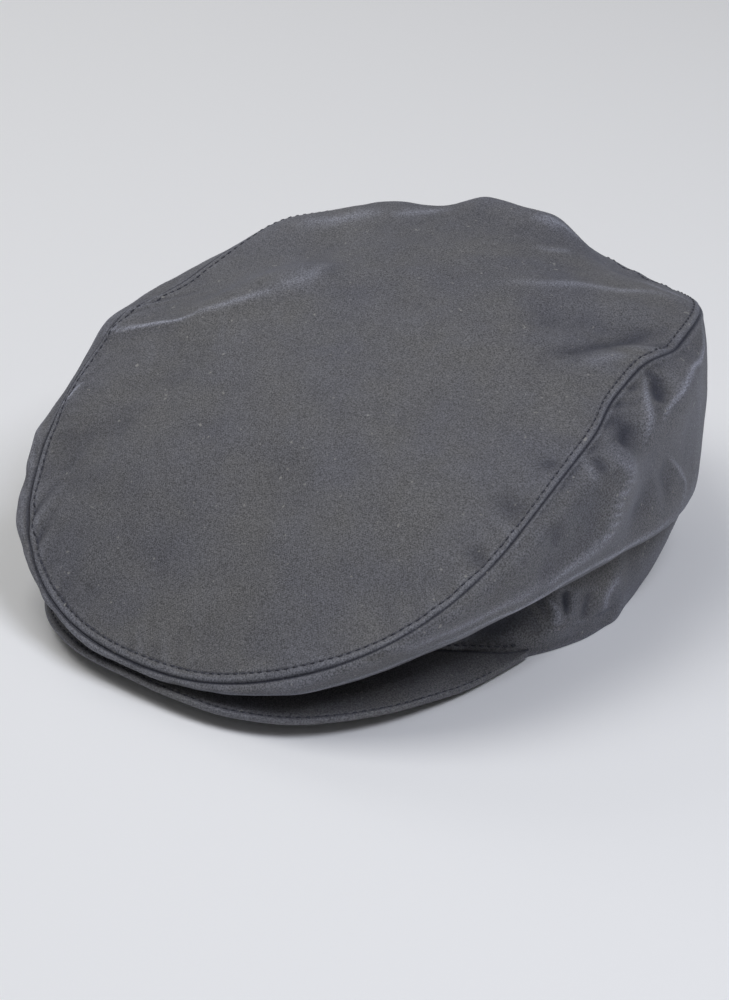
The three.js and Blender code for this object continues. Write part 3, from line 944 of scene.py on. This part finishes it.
def weave_height(tree, thread_mm):
    """Plain weave: crowns of warp and weft that take turns, from the cloth's own flat coordinates"""
    cloth = add(tree, "ShaderNodeUVMap", uv_map="cloth")
    split = add(tree, "ShaderNodeSeparateXYZ", {"Vector": cloth.outputs[0]})
    turn = np.pi / (thread_mm * MM)
    waves = []
    for axis in ("X", "Y"):
        scaled = add(tree, "ShaderNodeMath", {0: split.outputs[axis], 1: turn}, operation="MULTIPLY")
        waves.append(add(tree, "ShaderNodeMath", {0: scaled.outputs[0]}, operation="SINE").outputs[0])
    return add(tree, "ShaderNodeMath", {0: waves[0], 1: waves[1]}, operation="MULTIPLY")


def waxed_cotton_woven():
    """Cotton cloth, plain woven and waxed: matt and dark grey, speckled by fibre ends, with a soft
    blue sheen where it turns away, the whitening of the waxed cloth along its creases with painted
    highlights there and on its ridges, and painted shade, dark navy, in its hollows, dents and pockets."""
    material, tree = new_material("waxed_cotton_woven")
    space = add(tree, "ShaderNodeTexCoord").outputs["Object"]
    # Real threads are 0.35 mm apart, too fine to show, so the weave is drawn at 0.55 mm.
    weave = weave_height(tree, 0.55)
    # Fibre ends are too fine as well, and are drawn at 0.6 mm. Clouds of wax are 38 mm wide, and
    # lint lies 2.3 mm apart.
    fibre = add(tree, "ShaderNodeTexNoise", {
        "Vector": space, "Scale": 1 / (0.6 * MM), "Detail": 1, "Roughness": 0.6})
    cloud = add(tree, "ShaderNodeTexNoise", {
        "Vector": space, "Scale": 1 / (38 * MM), "Detail": 3, "Roughness": 0.55})
    lint = add(tree, "ShaderNodeTexNoise", {"Vector": space, "Scale": 1 / (2.3 * MM), "Detail": 1})
    clouds = add(tree, "ShaderNodeMapRange", {
        "Value": cloud.outputs["Fac"], "From Min": 0.35, "From Max": 0.65})
    colour = add(tree, "ShaderNodeMix", {0: clouds.outputs[0], 6: linear("#56565b"), 7: linear("#5d5c5c")},
                 data_type="RGBA").outputs[2]
    # Painted shade darkens the hollows, and a painted highlight pales the ridges. Below zero the wax
    # mark is painted shade in dents and pockets, and the dark line of wax in the seams; above zero it
    # is the whitening of the wax along creases together with painted highlights.
    for mark, share, tint in (("hollow", 0.6, "#30323f"), ("ridge", 0.3, "#7b7d88"),
                              ("wax", -0.92, "#1f212d"), ("wax", 0.8, "#a4a6b2")):
        amount = add(tree, "ShaderNodeAttribute", attribute_name=mark).outputs["Fac"]
        part = add(tree, "ShaderNodeMath", {0: amount, 1: share}, operation="MULTIPLY", use_clamp=True)
        colour = add(tree, "ShaderNodeMix", {0: part.outputs[0], 6: colour, 7: linear(tint)},
                     data_type="RGBA").outputs[2]
    speck = add(tree, "ShaderNodeMapRange", {
        "Value": fibre.outputs["Fac"], "From Min": 0.3, "From Max": 0.7, "To Min": 0.5, "To Max": 1.56})
    colour = add(tree, "ShaderNodeMix", {0: 1, 6: colour, 7: speck.outputs[0]}, data_type="RGBA",
                 blend_type="MULTIPLY").outputs[2]
    dots = add(tree, "ShaderNodeMapRange", {
        "Value": lint.outputs["Fac"], "From Min": 0.72, "From Max": 0.8, "To Max": 0.55})
    colour = add(tree, "ShaderNodeMix", {0: dots.outputs[0], 6: colour, 7: linear("#9c9a95")},
                 data_type="RGBA").outputs[2]
    rough = add(tree, "ShaderNodeMapRange", {
        "Value": cloud.outputs["Fac"], "From Min": 0.3, "From Max": 0.7, "To Min": 0.56, "To Max": 0.68})
    threads = add(tree, "ShaderNodeBump", {
        "Height": weave.outputs[0], "Distance": 0.05 * MM, "Strength": 0.7})
    fuzz = add(tree, "ShaderNodeBump", {
        "Height": fibre.outputs["Fac"], "Distance": 0.22 * MM, "Strength": 0.8,
        "Normal": threads.outputs[0]})
    shader = add(tree, "ShaderNodeBsdfPrincipled", {
        "Base Color": colour, "Roughness": rough.outputs[0], "IOR": 1.45, "Sheen Weight": 0.16,
        "Sheen Roughness": 0.45, "Sheen Tint": linear("#a9b2cf"), "Normal": fuzz.outputs[0]})
    add(tree, "ShaderNodeOutputMaterial", {"Surface": shader.outputs[0]})
    return material


def plain_cotton_inside():
    """The unwaxed inner face of the cloth: duller and a little browner, with no fibre ends."""
    material, tree = new_material("plain_cotton_inside")
    # The same fine threads, drawn at 0.6 mm
    weave = weave_height(tree, 0.6)
    threads = add(tree, "ShaderNodeBump", {
        "Height": weave.outputs[0], "Distance": 0.06 * MM, "Strength": 0.8})
    shade = add(tree, "ShaderNodeMapRange", {
        "Value": weave.outputs[0], "From Min": -1, "From Max": 1, "To Min": 0.85, "To Max": 1.1})
    colour = add(tree, "ShaderNodeMix", {0: 1, 6: linear("#47464a"), 7: shade.outputs[0]}, data_type="RGBA",
                 blend_type="MULTIPLY").outputs[2]
    shader = add(tree, "ShaderNodeBsdfPrincipled", {
        "Base Color": colour, "Roughness": 0.88, "IOR": 1.45, "Sheen Weight": 0.2,
        "Normal": threads.outputs[0]})
    add(tree, "ShaderNodeOutputMaterial", {"Surface": shader.outputs[0]})
    return material


def sewing_thread_twisted():
    """Dark navy polyester thread, three plies twisted: a fine oblique ribbing with a soft shine."""
    material, tree = new_material("sewing_thread_twisted")
    space = add(tree, "ShaderNodeTexCoord").outputs["Object"]
    # The ribs of the real twist are about 0.5 mm apart, too fine to show. These are 1.2 mm apart.
    plies = add(tree, "ShaderNodeTexWave", {"Vector": space, "Scale": 1 / (3.2 * MM), "Distortion": 0.6},
                bands_direction="DIAGONAL")
    bump = add(tree, "ShaderNodeBump", {
        "Height": plies.outputs["Fac"], "Distance": 0.08 * MM, "Strength": 0.8})
    colour = add(tree, "ShaderNodeMix", {
        0: plies.outputs["Fac"], 6: linear("#15161f"), 7: linear("#2a2c3b")}, data_type="RGBA").outputs[2]
    shader = add(tree, "ShaderNodeBsdfPrincipled", {
        "Base Color": colour, "Roughness": 0.5, "IOR": 1.55, "Sheen Weight": 0.1, "Normal": bump.outputs[0]})
    add(tree, "ShaderNodeOutputMaterial", {"Surface": shader.outputs[0]})
    return material


def floor_paper_matt():
    """Matt white background paper"""
    material, tree = new_material("floor_paper_matt")
    shader = add(tree, "ShaderNodeBsdfPrincipled", {
        "Base Color": linear("#f1f1f1"), "Roughness": 0.9, "Specular IOR Level": 0.1})
    add(tree, "ShaderNodeOutputMaterial", {"Surface": shader.outputs[0]})
    return material


def studio_floor():
    """Paper far wider than the view"""
    half = 4000
    points = np.array([(-half, -half, 0), (half, -half, 0), (half, half, 0), (-half, half, 0)])
    floor = make_mesh("studio_floor", points, [(0, 1, 2, 3)], [floor_paper_matt()])


def from_angles(azimuth, elevation, distance):
    """A place at a distance from the origin, azimuth 0 in front of the peak and 90 at the left"""
    a, e = np.radians([azimuth, elevation])
    return Vector((np.sin(a) * np.cos(e), -np.cos(a) * np.cos(e), np.sin(e))) * distance


# The photograph's view of the cap. The cap's middle, 50 mm up, lies a little right of and above
# the middle of the frame.
VIEW = dict(azimuth=40, elevation=26, distance=1200, lens=111.24, middle_height=50, right=8.9, up=20.4)


def photo_camera():
    camera = put("photo_camera", bpy.data.cameras.new("photo_camera"))
    middle = Vector((0, 0, VIEW["middle_height"] * MM))
    camera.location = middle + from_angles(VIEW["azimuth"], VIEW["elevation"], VIEW["distance"] * MM)
    look = (middle - camera.location).normalized()
    right = look.cross(Vector((0, 0, 1))).normalized()
    up = right.cross(look)
    aim = middle - right * VIEW["right"] * MM - up * VIEW["up"] * MM
    camera.rotation_euler = (aim - camera.location).to_track_quat("-Z", "Y").to_euler()
    camera.data.lens = VIEW["lens"]
    camera.data.clip_end = 20
    bpy.context.scene.camera = camera


ROOM_LIGHT = 0.17
LIGHTS = table("name azimuth elevation distance size power colour", [
    ("top_softbox", -50, 70, 1.8, 1.1, 11, "#ffffff"),
    ("left_softbox", 85, 56, 2, 0.8, 18.5, "#eff3ff"),
    ("right_softbox", -110, 32, 2, 1, 4.8, "#ffffff"),
])


def studio_light():
    for row in LIGHTS:
        data = bpy.data.lights.new(row["name"], "AREA")
        data.size = row["size"]
        data.energy = row["power"]
        data.color = linear(row["colour"])[:3]
        light = put(row["name"], data)
        light.location = from_angles(row["azimuth"], row["elevation"], row["distance"])
        light.rotation_euler = (-light.location).to_track_quat("-Z", "Y").to_euler()
    world = bpy.data.worlds.new("studio_room")
    world.use_nodes = True
    background = world.node_tree.nodes["Background"]
    background.inputs["Color"].default_value = linear("#ffffff")
    background.inputs["Strength"].default_value = ROOM_LIGHT
    bpy.context.scene.world = world
    bpy.context.scene.view_settings.view_transform = "Standard"


waxed = waxed_cotton_woven()
inside = plain_cotton_inside()
thread = sewing_thread_twisted()
PIECES = [
    (top_cloth([waxed, inside]), ["top_panel"], "waxed_cotton"),
    (side_cloth("side_cloth_left", 1, [waxed, inside]), ["side_panel_left"], "waxed_cotton"),
    (side_cloth("side_cloth_right", -1, [waxed, inside]), ["side_panel_right"], "waxed_cotton"),
    (peak_cover([waxed]), ["peak"], "waxed_cotton"),
    (crown_stitching([thread]), [], "sewing_thread"),
    (peak_stitching([thread]), [], "sewing_thread"),
    (join_stitching([thread]), [], "sewing_thread"),
]
for piece, nodes, slot in PIECES:
    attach(piece, "root")
    if nodes:
        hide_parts(*nodes)

studio_floor()
photo_camera()
studio_light()
